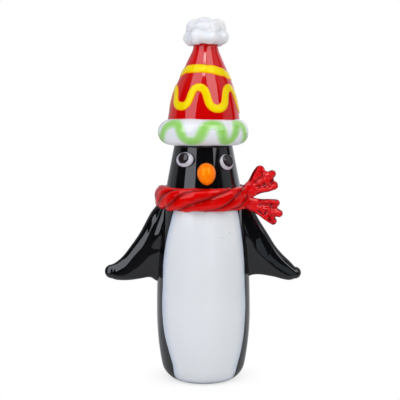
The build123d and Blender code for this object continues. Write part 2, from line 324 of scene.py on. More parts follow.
def lathe(name, outline, sizes, material):
    # Turns an outline of (radius, height) rows round the axis; a row of no radius becomes a pole
    segments, rings = sizes["segments"], []
    for radius, height in outline:
        ring = []
        for count in range(segments if radius else 1):
            point = around(360 * count / segments, radius, height)
            swell = unevenness(point, *sizes["wobble"]) * min(1.0, radius / sizes["wobble"][1])
            ring.append(leaned(point + Vector((point.x, point.y, 0)).normalized() * swell))
        rings.append(ring)
    return fromRings(name, rings, material)


# Glass: what was worked in a flame has faint waves, streaks of a second colour, seeds and pinholes

worked = dict(
    streakDetail=3.0, streakDistortion=0.6, streakRoughness=0.05,
    seedSize=420.0, seedCore=0.05, seedRim=0.12, seedShare=0.5, seedColour=(0.12, 0.12, 0.13),
    waveSize=160.0, waveDetail=1.0, waveDepth=0.0003, bending=1.52, milkRadius=(1.0, 0.8, 0.6),
)
# What a glass has unless it says otherwise. Its colours are its own and that of its streaks, and the
# mask, an attribute of the mesh, blends in the mask's colour.
glassDefaults = dict(
    streaks=0.4, streakSize=250.0, stretch=0.3, seeds=0.0, seedsAbove=0.0, roughness=0.02, bump=0.15,
    shine=0.5, shineTint=(1.0, 1.0, 1.0), clear=0.0, milk=0.0, milkDepth=0.001,
)
glassKinds = dict(
    blackGlass=dict(colours=[(0.0022, 0.0022, 0.0026), (0.006, 0.006, 0.007)], roughness=0.015),
    pupilGlass=dict(
        colours=[(0.010, 0.006, 0.007), (0.026, 0.017, 0.019)], streaks=0.6, roughness=0.06),
    bellyGlass=dict(
        colours=[(0.66, 0.67, 0.675), (0.625, 0.635, 0.645)], mask="thin",
        maskColour=(0.44, 0.50, 0.60), streaks=0.25, streakSize=120.0, stretch=0.2, seeds=0.5,
        seedsAbove=0.050, roughness=0.05, milk=0.15, bump=0.1),
    eyeGlass=dict(
        colours=[(0.50, 0.47, 0.51), (0.30, 0.28, 0.31)], mask="thin",
        maskColour=(0.010, 0.010, 0.013), streaks=0.5, streakSize=500.0, stretch=1.0, roughness=0.03),
    beakGlass=dict(
        colours=[(0.92, 0.14, 0.0), (0.96, 0.24, 0.0)], streaks=0.6, streakSize=180.0,
        roughness=0.14, milk=0.1, shine=0.85, shineTint=(1.0, 0.62, 0.05)),
    hatGlass=dict(
        colours=[(0.54, 0.001, 0.001), (0.38, 0.0, 0.0)], streaks=0.5, streakSize=140.0,
        stretch=0.25, shine=0.45),
    threadGlass=dict(
        colours=[(0.73, 0.575, 0.0), (0.73, 0.50, 0.0)], mask="edge",
        maskColour=(0.78, 0.20, 0.0), roughness=0.10, shine=0.35, shineTint=(1.0, 0.9, 0.15)),
    trimGlass=dict(
        colours=[(0.69, 0.70, 0.71), (0.62, 0.63, 0.65)], streakSize=200.0, stretch=1.0,
        roughness=0.03, milk=0.35, bump=0.2),
    pompomGlass=dict(
        colours=[(0.69, 0.69, 0.70), (0.63, 0.63, 0.645)], streakSize=200.0, stretch=1.0,
        roughness=0.16, milk=0.6, milkDepth=0.0014, bump=0.2),
    greenGlass=dict(
        colours=[(0.22, 0.52, 0.08), (0.36, 0.64, 0.19)], mask="edge",
        maskColour=(0.62, 0.70, 0.60), streaks=0.6, streakSize=400.0, stretch=1.0, roughness=0.03),
    # the scarf's mask colour is painted shade: a dark red laid into the grooves of the twist
    scarfGlass=dict(
        colours=[(0.57, 0.0008, 0.0006), (0.68, 0.002, 0.0015)], mask="groove",
        maskColour=(0.14, 0.001, 0.001), streaks=0.6, streakSize=260.0, stretch=1.0, shine=0.42,
        shineTint=(1.0, 0.5, 0.5)),
    # its mask darkens the rim, where the glass turns over, and paints shade down in the folds
    fanGlass=dict(
        colours=[(0.86, 0.002, 0.004), (0.36, 0.0, 0.002)], mask="rim",
        maskColour=(0.14, 0.0, 0.002), streaks=0.8, streakSize=420.0, stretch=1.0, roughness=0.01,
        clear=0.03, shine=0.55, shineTint=(1.0, 0.6, 0.6)),
)


def flameWorked():
    tree = NodeTree(bpy.data.node_groups.new("flameWorkedGlass", "ShaderNodeTree"), {
        "Color": "Colour, Streak Colour",
        "Float": "Streak Amount, Streak Size, Upright Stretch, Seed Amount, Seeds Above, Roughness",
    }, {"Color": "Colour", "Float": "Roughness, Height"})
    given = tree.given
    place = tree.node("ShaderNodeTexCoord")["Object"]
    stretched = tree.vector("MULTIPLY", place, tree.combined(1.0, 1.0, given["Upright Stretch"]))
    streaks = tree.node(
        "ShaderNodeTexNoise", Vector=stretched, Scale=given["Streak Size"],
        Detail=worked["streakDetail"], Distortion=worked["streakDistortion"])["Fac"]
    colour = tree.blend(
        tree.times(streaks, given["Streak Amount"]), given["Colour"], given["Streak Colour"])
    # dark seeds in some of the cells, only above a height
    seeds = tree.node("ShaderNodeTexVoronoi", Vector=place, Scale=worked["seedSize"])
    spot = tree.ramp(seeds["Distance"], worked["seedCore"], worked["seedRim"], 1.0, 0.0)
    draw = tree.node("ShaderNodeSeparateColor", Color=seeds["Color"])["Red"]
    picked = tree.math("GREATER_THAN", draw, worked["seedShare"])
    high = tree.math("GREATER_THAN", tree.parts(place)["Z"], given["Seeds Above"])
    seed = tree.times(spot, picked, high, given["Seed Amount"])
    waves = tree.node("ShaderNodeTexNoise", Vector=stretched, Scale=worked["waveSize"],
                      Detail=worked["waveDetail"])["Fac"]
    tree.give(tree.result["Colour"], tree.blend(seed, colour, (*worked["seedColour"], 1)))
    tree.give(tree.result["Roughness"], tree.math(
        "MULTIPLY_ADD", streaks, worked["streakRoughness"], given["Roughness"]))
    tree.give(tree.result["Height"], tree.math("SUBTRACT", waves, seed))
    return tree.tree


flameWorkedGroup = flameWorked()


def glassMaterial(name, look):
    look = glassDefaults | look
    material = bpy.data.materials.new(name)
    material.use_nodes = True
    tree = NodeTree(material.node_tree)
    shader = material.node_tree.nodes["Principled BSDF"]
    shared = tree.node(
        "ShaderNodeGroup", node_tree=flameWorkedGroup, Colour=(*look["colours"][0], 1),
        Streak_Colour=(*look["colours"][1], 1), Streak_Amount=look["streaks"],
        Streak_Size=look["streakSize"], Upright_Stretch=look["stretch"], Seed_Amount=look["seeds"],
        Seeds_Above=look["seedsAbove"], Roughness=look["roughness"])
    colour = shared["Colour"]
    if "mask" in look:
        mask = tree.node("ShaderNodeAttribute", attribute_name=look["mask"])
        colour = tree.blend(mask["Fac"], colour, (*look["maskColour"], 1))
    bump = tree.node("ShaderNodeBump", Strength=look["bump"], Distance=worked["waveDepth"],
                     Height=shared["Height"])
    for label, source in {
        "Base Color": colour, "Roughness": shared["Roughness"], "Normal": bump["Normal"],
        "IOR": worked["bending"], "Specular IOR Level": look["shine"],
        "Specular Tint": (*look["shineTint"], 1), "Transmission Weight": look["clear"],
        "Subsurface Weight": look["milk"], "Subsurface Radius": worked["milkRadius"],
        "Subsurface Scale": look["milkDepth"],
    }.items():
        tree.give(shader.inputs[label], source)
    return material


glass = {name: glassMaterial(name, look) for name, look in glassKinds.items()}
print("glass ready")


# Body

def bodyOutline():
    foot, rounding, steps = body["footRadius"], body["footRounding"], body["footSteps"]
    height = rounding * body["footRise"]
    rows = [(0, 0), (foot / 2, 0), (foot - rounding, 0)]
    for count in range(1, steps):
        share = count / steps
        rows.append((foot - rounding * (1 - share), height * share * share))
    while height < body["headTopHeight"]:
        rows.append((bodyRadius(height), height))
        height += body["heelRowStep"] if height < body["heelHeight"] else body["rowStep"]
    return rows + [(body["headTopRadius"], body["headTopHeight"]), (0, body["headTopHeight"])]


settle(lathe("body", bodyOutline(), body, glass["blackGlass"]), "body_shell")
print("body ready")


# Belly: a skin of white glass laid over the body and melted in round its edge

belly = dict(
    bottom=0.25, top=63.0, stand=0.28, sink=0.25, rim=0.9, thickness=1.0, rows=150, columns=90,
    widest=0.985,                  # how far round it comes, as a share of the radius
    thinReach=2.6, thinFall=1.6,   # how the white thins out towards its edge
    uneven=(0.05, 7.0), unevenUp=0.6, unevenSeed=3.0,
    # height, left edge (the viewer's right), right edge, as distances from the axis
    edges=[
        (0.0, 9.7, 8.8), (1.0, 10.3, 9.35), (3.0, 10.95, 10.15), (7.0, 11.95, 10.75), (11.5, 13.1, 12.1),
        (16.5, 13.95, 13.4), (20.8, 14.35, 14.05), (27.4, 14.6, 14.4), (34.6, 14.3, 14.15),
        (41.7, 14.2, 14.0), (49.0, 13.6, 13.05), (54.5, 12.8, 11.8), (59.0, 12.0, 10.6),
        (64.0, 10.9, 9.2),
    ],
)


def bellyPiece():
    rows, columns = belly["rows"], belly["columns"]
    verts, faces, thin = [], [], []
    for layer in range(2):
        for row in range(rows + 1):
            height = belly["bottom"] + (belly["top"] - belly["bottom"]) * (row / rows)
            left, right = alongTable(belly["edges"], height)
            for column in range(columns + 1):
                across = sin(pi * (column / columns - 0.5))
                edge = left if across > 0 else right
                x = edge * across
                gap = min(edge * (1 - abs(across)), height - belly["bottom"])
                swell = sqrt(max(0.0, 1 - (1 - min(gap / belly["rim"], 1)) ** 2))
                reach = bodyRadius(height)
                reach += (belly["stand"] + belly["sink"]) * swell - belly["sink"]
                spot = Vector((x, height * belly["unevenUp"], belly["unevenSeed"]))
                reach += unevenness(spot, *belly["uneven"])
                if layer:
                    reach -= belly["thickness"]
                x = min(max(x, -reach * belly["widest"]), reach * belly["widest"])
                verts.append(Vector((x, -sqrt(reach * reach - x * x), height)))
                thin.append(max(0.0, 1 - gap / belly["thinReach"]) ** belly["thinFall"])
    step = columns + 1
    back = step * (rows + 1)
    for row in range(rows):
        for column in range(columns):
            a = row * step + column
            faces.append([a, a + 1, a + 1 + step, a + step])
            faces.append([back + a, back + a + step, back + a + 1 + step, back + a + 1])
    # the four sides between the front and the back
    for row in range(rows):
        for a in (row * step, row * step + columns):
            faces.append([a, a + step, back + a + step, back + a])
    for column in range(columns):
        for a in (column, rows * step + column):
            faces.append([a, a + 1, back + a + 1, back + a])
    piece = newMesh("belly", verts, faces, glass["bellyGlass"])
    addMask(piece, "thin", thin)
    outwardFaces(piece)
    return piece


settle(bellyPiece(), "belly_patch")
print("belly ready")


# Wings

wing = dict(
    root=10.4, rootThickness=6.4, tipRadius=2.15, stations=72, endSteps=8, around=128, fullness=1.12,
    leanReach=0.3,                      # how far each way the lean of the edges is measured
    # width of the upper rounding: its share on thin glass and what thickness adds, its share at the
    # root and what it grows by, and its most as a share of the wing's half height
    thinShare=0.45, thickShare=0.55, rootShare=0.35, grownShare=0.65, widest=1.7,
    # the swelling where the wing was joined on: its half width, its place at a height, its slant,
    # how much more it has below that height, and where it ends
    flareHalfWidth=0.9, flarePlace=14.5, flareHeight=57.0, flareSlant=0.34, flareGrowth=0.02,
    flareEnd=(46.0, 51.5),
    # the underside's slow slope: how deep, from which half height on, and the least that is left
    underRounding=2.0, underDip=1.5, dipFull=12, leastThickness=0.2, ridgeFall=0.55,
    bend=(0.15, 8.0), bendSeed=5.0,
    # how the face comes up from the edge: share of the rounding's width, share of the thickness
    upperLeft=dict(width=7.0, ridge=0.50, grow=(8.0, 9.0), flare=0.5, rows=[
        (0.0, 0.0), (0.03, 0.22), (0.07, 0.36), (0.12, 0.48), (0.17, 0.57), (0.24, 0.665), (0.31, 0.745),
        (0.40, 0.82), (0.52, 0.89), (0.66, 0.94), (0.82, 0.978), (1.0, 1.0)]),
    upperRight=dict(width=4.8, ridge=0.42, grow=(13.0, 17.3), flare=0.87, rows=[
        (0.0, 0.0), (0.03, 0.22), (0.06, 0.31), (0.10, 0.40), (0.17, 0.515), (0.25, 0.62), (0.32, 0.70),
        (0.44, 0.795), (0.56, 0.885), (0.68, 0.962), (0.80, 0.985), (1.0, 1.0)]),
    # reach, top, underside
    left=[
        (10.4, 65.8, 33.6), (14.5, 63.1, 35.1), (17.2, 60.4, 36.4), (20.0, 55.6, 36.6),
        (22.8, 51.2, 36.2), (25.4, 47.0, 35.7), (27.9, 44.0, 35.0), (30.4, 41.6, 34.6),
        (32.5, 39.4, 35.1),
    ],
    right=[
        (10.4, 65.8, 32.4), (14.5, 63.7, 33.2), (17.1, 60.6, 34.6), (18.9, 58.1, 35.6),
        (22.4, 51.6, 35.1), (26.0, 46.4, 34.6), (28.5, 43.2, 34.5), (31.0, 41.0, 34.7),
        (32.5, 40.2, 35.2),
    ],
)


def wingPiece(name, side, table, upper):
    root, tip, leanReach = wing["root"], table[-1][0], wing["leanReach"]
    rings = []
    for count in range(wing["stations"] + wing["endSteps"] + 1):
        # past goes from 0 to 1 round the end, where the wing closes
        past = max(0, count - wing["stations"]) / wing["endSteps"]
        shrink, bulge = cos(pi / 2 * past), sin(pi / 2 * past)
        reach = tip + bulge if past else root + (tip - root) * count / wing["stations"]
        inner = min(reach, tip)
        top, bottom = alongTable(table, inner)
        x = tip + (top - bottom) / 2 * bulge if past else reach
        middle, half = (top + bottom) / 2, (top - bottom) / 2 * shrink
        if past == 1:
            rings.append([Vector((side * x, 0, middle))])
            continue
        nearTop, nearBottom = alongTable(table, max(inner - leanReach, root))
        farTop, farBottom = alongTable(table, min(inner + leanReach, tip))
        topLean = cos(atan2(nearTop - farTop, 2 * leanReach))
        bottomLean = cos(atan2(farBottom - nearBottom, 2 * leanReach))
        outward = smoothStep(root, tip, inner)
        thick = (wing["rootThickness"] / 2) * (1 - outward) + wing["tipRadius"] * outward
        thick *= 1 + (wing["fullness"] - 1) * 4 * outward * (1 - outward)
        thick *= shrink
        width = wing["thinShare"] + wing["thickShare"] * thick / wing["rootThickness"] * 2
        width *= upper["width"]
        width *= wing["rootShare"] + wing["grownShare"] * smoothStep(*upper["grow"], reach)
        width = min(width, wing["widest"] * half * topLean)
        under = min(wing["underRounding"], half * bottomLean)
        ridge = upper["ridge"] * (1 - wing["ridgeFall"] * outward)
        ring = []
        for out, up in circle(wing["around"]):
            height = middle + half * up
            # the upper edge comes up along its own rows, the underside round and then as a slow slope
            full = alongTable(upper["rows"], min(half * (1 - up) * topLean / width, 1.0))[0]
            share = min(half * (1 + up) * bottomLean / under, 1.0)
            full *= sqrt(max(0.0, 1 - (1 - share) ** 2))
            low = max(0.0, ridge - (1 + up) / 2) / ridge
            dip = wing["underDip"] * low * min(1.0, half / wing["dipFull"])
            key = reach + wing["flareSlant"] * (height - wing["flareHeight"]) - wing["flarePlace"]
            flare = upper["flare"] * min(max(0.5 - key / wing["flareHalfWidth"] / 2, 0.0), 1.0)
            flare *= 1 + wing["flareGrowth"] * (wing["flareHeight"] - height)
            flare *= smoothStep(*wing["flareEnd"], height)
            bend = unevenness(Vector((reach, height, wing["bendSeed"] * side)), *wing["bend"])
            thickHere = max(thick - dip, wing["leastThickness"] * thick) + flare
            deep = copysign(thickHere * full, out)
            ring.append(Vector((side * x, deep + bend * shrink * full, height)))
        rings.append(ring)
    return fromRings(name, rings, glass["blackGlass"], capped=True)


settle(wingPiece("wingLeft", 1, wing["left"], wing["upperLeft"]), "wing_left")
settle(wingPiece("wingRight", -1, wing["right"], wing["upperRight"]), "wing_right")
print("wings ready")


# Scarf: a flattened cane bent into a ring; its ridges climb round the section on their way round

scarf = dict(
    ringRadius=14.55, height=64.3, halfWidth=2.5, halfHeight=4.0, strands=5.0, twists=-12.0,
    # grooveShade is how strongly painted shade darkens the grooves
    grooveDepth=0.62, sharpness=0.42, grooveShade=1.35, steps=420, sides=72, seam=0.005,
    drifts=[(3.0, 0.24), (7.0, 0.05)],  # waves of the twist round the ring, and their size
    squareOut=0.75, squareUp=0.85,      # under 1 makes the section squarer
    wobble=0.9, wobbleRound=1.6, wobbleSection=0.35, wobbleScale=2.2, wobbleDetail=1.0, seed=4.0,
)


def twistedCane():
    tree = NodeTree(bpy.data.node_groups.new("twistedCane", "GeometryNodeTree"), {
        "Geometry": "Geometry",
        "Length": "Ring Radius, Height, Half Width, Half Height, Groove Depth, Wobble",
        "Float": "Strands, Twists, Sharpness, Seed", "Material": "Material",
    }, {"Geometry": "Geometry"})
    given = tree.given
    grid = tree.node("GeometryNodeMeshGrid", Size_X=1.0, Size_Y=1.0, Vertices_X=scarf["steps"] + 1,
                     Vertices_Y=scarf["sides"] + 1)
    flat = tree.parts(tree.node("GeometryNodeInputPosition")["Position"])
    turn, section = tree.plus(flat["X"], 0.5), tree.plus(flat["Y"], 0.5)
    turnAngle, sectionAngle = tree.times(turn, 2 * pi), tree.times(section, 2 * pi)
    first, second = [tree.times(tree.math("SINE", tree.times(turnAngle, waves)), size)
                     for waves, size in scarf["drifts"]]
    climb = tree.plus(tree.times(section, given["Strands"]), tree.times(turn, given["Twists"]))
    phase = tree.times(tree.plus(climb, tree.plus(first, second)), pi)
    ridge = tree.math(
        "POWER", tree.math("ABSOLUTE", tree.math("SINE", phase)), given["Sharpness"])
    groove = tree.times(tree.math("SUBTRACT", ridge, 1.0), given["Groove Depth"])
    cosine, sine = tree.math("COSINE", sectionAngle), tree.math("SINE", sectionAngle)
    # unevenness, read on the ring itself so that it closes
    loop = tree.combined(
        tree.times(tree.math("COSINE", turnAngle), scarf["wobbleRound"]),
        tree.times(tree.math("SINE", turnAngle), scarf["wobbleRound"]),
        tree.plus(tree.times(sine, scarf["wobbleSection"]), given["Seed"]))
    uneven = tree.node("ShaderNodeTexNoise", Vector=loop, Scale=scarf["wobbleScale"],
                       Detail=scarf["wobbleDetail"])["Fac"]
    swell = tree.times(tree.math("SUBTRACT", uneven, 0.5), given["Wobble"])
    grow = tree.plus(groove, swell)
    out = tree.times(tree.power(cosine, scarf["squareOut"]), tree.plus(given["Half Width"], grow))
    up = tree.times(tree.power(sine, scarf["squareUp"]), tree.plus(given["Half Height"], grow))
    reach = tree.plus(given["Ring Radius"], out)
    point = tree.combined(
        tree.times(tree.math("SINE", turnAngle), reach),
        tree.times(tree.math("COSINE", turnAngle), reach, -1.0), tree.plus(given["Height"], up))
    # the mask of painted shade in the grooves is worked out from the flat grid, before the points move
    tint = tree.times(tree.math("SUBTRACT", 1.0, ridge), scarf["grooveShade"])
    bent = tree.move(tree.keep(grid["Mesh"], "groove", tint), point)
    joined = tree.node(
        "GeometryNodeMergeByDistance", Geometry=bent, Distance=scarf["seam"] * toMetres)
    tree.finish(joined["Geometry"])
    return tree


ring = twistedCane().onto(newMesh("scarf", [(0, 0, 0)], []),
                          scarf | dict(material=glass["scarfGlass"]))
outwardFaces(ring)
settle(ring, "scarf_wrap")
print("scarf ready")


# Scarf ends: fans of three fingers pinched out of one gather

fans = dict(
    forward=-4.9, flatness=0.62, voxel=0.24, smoothing=6, fineness=2, steps=22,
    waist=0.22, waistReach=1.12,                           # how each finger thins on its way out
    webRadius=1.25, webPlaces=(0.25, 0.5, 0.75), webFrom=4,  # the glass between two fingers
    fade=(2.0, 5.0), crinkle=0.36, crinkles=12, crinkleDrift=(2.5, 3.0), crumple=(0.5, 1.2),
    bow=(0.35, 4.0),
    # where the rim darkens, and where the painted shade in the folds begins and ends and how strong it
    # is
    rimFrom=0.35, rimTo=0.88, foldFrom=0.08, foldTo=0.45, foldShade=0.9,
    # root, fingers (side, height, radius), and how far out the web goes
    upper=dict(
        root=(15.0, 66.2), rootRadius=2.6,
        fingers=[(19.5, 73.9, 1.8), (23.7, 72.6, 1.5), (24.3, 68.6, 1.65)], web=0.92,
    ),
    lower=dict(
        root=(15.4, 62.6), rootRadius=2.35,
        fingers=[(25.2, 62.5, 1.4), (26.2, 58.9, 1.45), (24.2, 56.2, 1.4)], web=0.88,
    ),
)


def fanPiece(name, fan):
    rootX, rootZ = fan["root"]
    steps = fans["steps"]
    beads = []
    for x, z, radius in fan["fingers"]:
        for count in range(steps + 1):
            share = count / steps
            bulge = sin(pi * min(1.0, share * fans["waistReach"])) ** 2
            size = (fan["rootRadius"] * (1 - share) + radius * share) * (1 - fans["waist"] * bulge)
            beads.append((rootX + (x - rootX) * share, rootZ + (z - rootZ) * share, size))
    for (ax, az, ar), (bx, bz, br) in zip(fan["fingers"], fan["fingers"][1:]):
        for between in fans["webPlaces"]:
            x, z = ax + (bx - ax) * between, az + (bz - az) * between
            for count in range(fans["webFrom"], steps + 1):
                share = fan["web"] * count / steps
                beads.append((rootX + (x - rootX) * share, rootZ + (z - rootZ) * share,
                              fans["webRadius"]))
    lumps = [(Vector((x, fans["forward"], z)), 1.0,
              (size * toMetres, size * fans["flatness"] * toMetres, size * toMetres), fans["fineness"])
             for x, z, size in beads]
    piece = melted(name, lumps, fans["voxel"], fans["smoothing"], glass["fanGlass"])
    folds = []
    for vert in piece.data.vertices:
        place = vert.co / toMetres
        away = Vector((place.x, 0, place.z)) - Vector((rootX, 0, rootZ))
        fade = smoothStep(*fans["fade"], away.length)
        side = 1 if place.y > fans["forward"] else -1
        drift = unevenness(place, *fans["crinkleDrift"])
        lift = fans["crinkle"] * sin(atan2(away.z, away.x) * fans["crinkles"] + drift)
        lift += unevenness(place, *fans["crumple"])
        folds.append(max(0.0, -lift) * fade)
        bow = unevenness(Vector((place.x, 0, place.z)), *fans["bow"])
        vert.co.y += side * lift * fade * toMetres
        vert.co.y += bow * fade * toMetres
    outwardFaces(piece)
    # the glass is deeper red round the rim, where it turns over, and painted shade darkens it down in
    # the folds
    addMask(piece, "rim", [
        max(1 - smoothStep(fans["rimFrom"], fans["rimTo"], abs(vert.normal.y)),
            fans["foldShade"] * smoothStep(fans["foldFrom"], fans["foldTo"], fold))
        for vert, fold in zip(piece.data.vertices, folds)])
    return piece


settle(fanPiece("scarfEndUpper", fans["upper"]), "scarf_tail_upper")
settle(fanPiece("scarfEndLower", fans["lower"]), "scarf_tail_lower")
print("scarf ends ready")


# Face

eyes = dict(
    rows=22, segments=64, rounding=0.9, whiteBase=-0.1, pupilRise=0.7, pupilSink=0.42,
    foot=[(0, -1.2), (0.8, -1.2), (0.97, -0.7)],  # the hidden foot: share of the size, height
    thinFrom=0.25, thinTo=0.5,
    # half width and half height of the white, its rise, the same of the pupil, and the pupil's place
    # on the white
    left=dict(turn=43.3, height=76.8, white=(3.35, 2.9), rise=1.0, pupil=(2.5, 2.2),
              shift=(0.35, 0.4)),
    right=dict(turn=-34.1, height=77.7, white=(3.75, 2.7), rise=1.0, pupil=(2.25, 1.9),
               shift=(-0.3, 0.35)),
)
beak = dict(
    turn=4.4, height=73.45, radius=3.15, back=3.3, tip=4.5, tilt=58.0, stand=0.7, rows=48, segments=64,
    uneven=(0.012, 2.5),
)


def headPlace(turn, height):
    # A place on the head, with Z straight out of it
    slope = (body["neckRadius"] - body["headTopRadius"]) / (body["headTopHeight"] - body["neckHeight"])
    out = around(turn, 1, slope).normalized()
    side = Vector((0, 0, 1)).cross(out).normalized()
    axes = Matrix((side, out.cross(side), out)).transposed()
    return Matrix.Translation(around(turn, bodyRadius(height), height)) @ axes.to_4x4()


def bead(name, eye, halves, rise, base, shift, material):
    # A dome with a melted foot, closed behind; the outline's radii are shares of the half sizes
    rows = eyes["rows"]
    outline = [(share, base + up) for share, up in eyes["foot"]]
    for count in range(rows):
        angle = pi / 2 * count / rows
        outline.append((cos(angle) ** eyes["rounding"], base + rise * sin(angle)))
    outline.append((0, base + rise))
    place = headPlace(eye["turn"], eye["height"])
    rings = []
    for share, up in outline:
        across, tall = share * halves[0], share * halves[1]
        rings.append([place @ Vector((shift[0] + across * cosine, shift[1] + tall * sine, up))
                      for cosine, sine in circle(eyes["segments"] if share else 1)])
    # round its foot the bead is so thin that what is under it shows
    heights = [(place.inverted() @ spot).z for ring in rings for spot in ring]
    low, high = base + eyes["thinFrom"] * rise, base + eyes["thinTo"] * rise
    thin = [1 - smoothStep(low, high, up) for up in heights]
    return fromRings(name, rings, material, mask=("thin", thin))


def beakPiece():
    tilt = radians(beak["tilt"])
    centre = around(beak["turn"], bodyRadius(beak["height"]) + beak["stand"], beak["height"])
    axis = around(beak["turn"], cos(tilt), -sin(tilt))
    side = around(beak["turn"] + 90, 1, 0)
    up = side.cross(axis)
    rows, rings = beak["rows"], []
    for row in range(rows + 1):
        angle = pi * row / rows
        along = -cos(angle) * (beak["tip"] if angle > pi / 2 else beak["back"])
        radius = beak["radius"] * sin(angle)
        if row in (0, rows):
            rings.append([centre + axis * along])
            continue
        ring = []
        for cosine, sine in circle(beak["segments"]):
            spot = centre + axis * along + side * radius * cosine + up * radius * sine
            ring.append(spot + (spot - centre) * unevenness(spot, *beak["uneven"]))
        rings.append(ring)
    return fromRings("beak", rings, glass["beakGlass"])


for label in ("Left", "Right"):
    node = label.lower()
    eye = eyes[node]
    settle(bead("eyeWhite" + label, eye, eye["white"], eye["rise"], eyes["whiteBase"], (0, 0),
                glass["eyeGlass"]), "eye_white_" + node)
    settle(bead("pupil" + label, eye, eye["pupil"], eyes["pupilRise"], eye["rise"] - eyes["pupilSink"],
                eye["shift"], glass["pupilGlass"]), "pupil_" + node)
settle(beakPiece(), "beak")
print("face ready")


# Hat, brim and pompom

def hatOutline():
    neckRise, neckRadius = hat["neckRise"], hat["neckRadius"]
    rows = [(0, hatBase), (hat["radius"] / 2, hatBase)]
    rise = 0.0
    while rise < neckRise:
        # averaging the radius rounds over the bend and the neck
        shifts = hat["softening"] if rise > hat["softenFrom"] else (0,)
        near = [hatRadius(rise + shift) for shift in shifts]
        rows.append((sum(near) / len(near), hatBase + rise))
        rise += hat["rowStep"]
    top = hatBase + neckRise + hat["neckLength"]
    return rows + [(neckRadius, hatBase + neckRise + hat["neckStart"]), (neckRadius, top), (0, top)]


hatCone = lathe("hat", hatOutline(), hat, glass["hatGlass"])
settle(hatCone, "hat_cone")

brim = dict(ringRadius=11.65, sectionRadius=4.25, squash=1.06, segments=220, sides=72,
            uneven=(0.30, 6.0), unevenUp=6)


def brimPlace(turn, out, up, radius):
    # out and up are the cosine and the sine of an angle round the brim's own section
    return around(turn, brim["ringRadius"] + radius * out / brim["squash"],
                  hatBase + radius * up * brim["squash"])


def brimPiece():
    rings = []
    for count in range(brim["segments"]):
        turn = 360 * count / brim["segments"]
        ring = []
        for out, up in circle(brim["sides"]):
            spot = around(turn, brim["ringRadius"], hatBase) + Vector((0, 0, brim["unevenUp"] * up))
            radius = brim["sectionRadius"] + unevenness(spot, *brim["uneven"])
            ring.append(brimPlace(turn, out, up, radius))
        rings.append(ring)
    return fromRings("brim", rings, glass["trimGlass"], closed=True)


hatBrim = brimPiece()
settle(hatBrim, "hat_brim")

pompom = dict(
    bottom=116.6, height=9.6, radius=8.0, voxel=0.30, smoothing=20, noiseSize=2.4, noiseDepth=0.45,
    cores=[(119.3, 7.0, 2.9), (122.5, 6.1, 3.3)],  # height, radius across, radius up
    coreFineness=5, lumpFineness=4,
    # turn, then shares: out, up, size
    lumps=[
        (-92, 0.66, 0.29, 0.34), (-38, 0.60, 0.30, 0.34), (18, 0.60, 0.29, 0.33),
        (74, 0.67, 0.31, 0.34), (126, 0.62, 0.29, 0.33), (180, 0.60, 0.31, 0.34),
        (232, 0.63, 0.29, 0.33), (-84, 0.53, 0.64, 0.34), (-30, 0.44, 0.60, 0.34),
        (24, 0.44, 0.60, 0.34), (84, 0.53, 0.66, 0.33), (132, 0.50, 0.62, 0.32),
        (176, 0.46, 0.60, 0.33), (226, 0.46, 0.62, 0.33), (-82, 0.50, 0.72, 0.29),
        (-30, 0.12, 0.76, 0.37), (80, 0.50, 0.75, 0.28), (-92, 0.58, 0.45, 0.32),
        (92, 0.59, 0.47, 0.32), (200, 0.22, 0.72, 0.32),
    ],
)


def pompomPiece():
    bottom, height, radius = pompom["bottom"], pompom["height"], pompom["radius"]
    lumps = [(leaned(Vector((0, 0, place))), toMetres, (across, across, up), pompom["coreFineness"])
             for place, across, up in pompom["cores"]]
    for turn, out, up, size in pompom["lumps"]:
        spot = around(turn, out * radius, bottom + up * height)
        lumps.append((leaned(spot), size * radius * toMetres, (1, 1, 1), pompom["lumpFineness"]))
    piece = melted("pompom", lumps, pompom["voxel"], pompom["smoothing"], glass["pompomGlass"])
    middle = leaned(Vector((0, 0, bottom + height / 2))) * toMetres
    for vert in piece.data.vertices:
        lift = noise.noise(vert.co / (pompom["noiseSize"] * toMetres))
        vert.co += (vert.co - middle).normalized() * pompom["noiseDepth"] * toMetres * lift
    outwardFaces(piece)
    return piece


settle(pompomPiece(), "pompom")
print("hat, brim and pompom ready")


# Threads of glass: a flattened round section follows a path and lies on the surface under it

pressed = dict(
    sides=32, samples=24, spacing=0.3, roughScale=230.0,
    padSteepness=4.0, padRounding=0.5,  # a low pad with steep rims
)
threads = dict(
    band=dict(
        node="hat_band", slot="hat_trail", halfWidth=1.65, stand=0.24, heartRadius=0.0,
        heartHeight=104.0, uneven=0.2, seed=1.0, roundness=0.0, edgePower=4.5, rise=19.2, swing=2.4,
        points=[(-0.22, 0.5), (-0.14, 0.95), (-0.05, 1.0), (0.04, 0.85), (0.12, 0.55), (0.19, 0.1),
                (0.28, 0.0), (0.37, 0.2), (0.46, 0.55), (0.55, 0.75), (0.64, 0.75), (0.71, 0.6)],
    ),
    wave=dict(
        node="hat_wave", slot="hat_trail", halfWidth=1.5, stand=0.26, heartRadius=0.0,
        heartHeight=95.0, uneven=0.2, seed=3.0, roundness=0.55, edgePower=4.5, rise=7.9, swing=7.2,
        points=[(-0.228, 1.0), (-0.107, 0.12), (-0.033, 1.0), (0.061, 0.0), (0.152, 1.0), (0.238, 0.0),
                (0.32, 0.95), (0.40, 0.0), (0.48, 1.0), (0.56, 0.05), (0.64, 1.0), (0.705, 0.0)],
    ),
    brimWave=dict(
        node="brim_wave", slot="brim_trail", halfWidth=2.25, stand=0.13, heartRadius=11.65,
        heartHeight=87.0, uneven=0.7, seed=7.0, roundness=0.45, edgePower=2.6, rise=0.0, swing=42.0,
        points=[(-0.12, 1.0), (-0.045, -1.0), (0.036, 0.95), (0.092, -1.0), (0.148, 1.0),
                (0.208, -0.95), (0.27, 1.0), (0.335, -1.0), (0.395, 0.95), (0.457, -1.0),
                (0.52, 1.0), (0.58, -0.95), (0.642, 1.0), (0.69, -1.0), (0.738, 0.9),
                (0.785, -0.75)],
    ),
)


